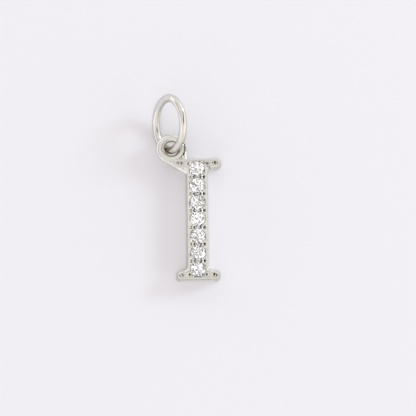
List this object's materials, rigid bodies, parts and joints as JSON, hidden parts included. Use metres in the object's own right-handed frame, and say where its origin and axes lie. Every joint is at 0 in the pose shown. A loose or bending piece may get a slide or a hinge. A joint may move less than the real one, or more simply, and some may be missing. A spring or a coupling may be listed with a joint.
{
  "type": "initial pendant",
  "caption": "Small cast initial pendant: a serifed capital I with a bead-set column of round clear stones, a cast loop at its upper left corner and an oval jump ring through the loop.",
  "frame": {"origin": "a point on the flat back, on the middle line of the shaft, halfway between the holes below the third and the fourth stone", "axes": "+Y up the letter towards its loop, +Z out of the front face, +X to the right when the front face is seen"},
  "size_m": [0.0058, 0.0155, 0.0045],
  "materials": {
    "cast_silver": "polished cast silver with bright-cut edges",
    "wire_silver": "polished drawn wire",
    "clear_stone": "clear, brilliant cut"
  },
  "bodies": {
    "root": {"letter": "cast_silver", "stone_1": "clear_stone", "stone_2": "clear_stone", "stone_3": "clear_stone", "stone_4": "clear_stone", "stone_5": "clear_stone", "stone_6": "clear_stone", "stone_7": "clear_stone", "jump_ring": "wire_silver"}
  },
  "joints": []
}
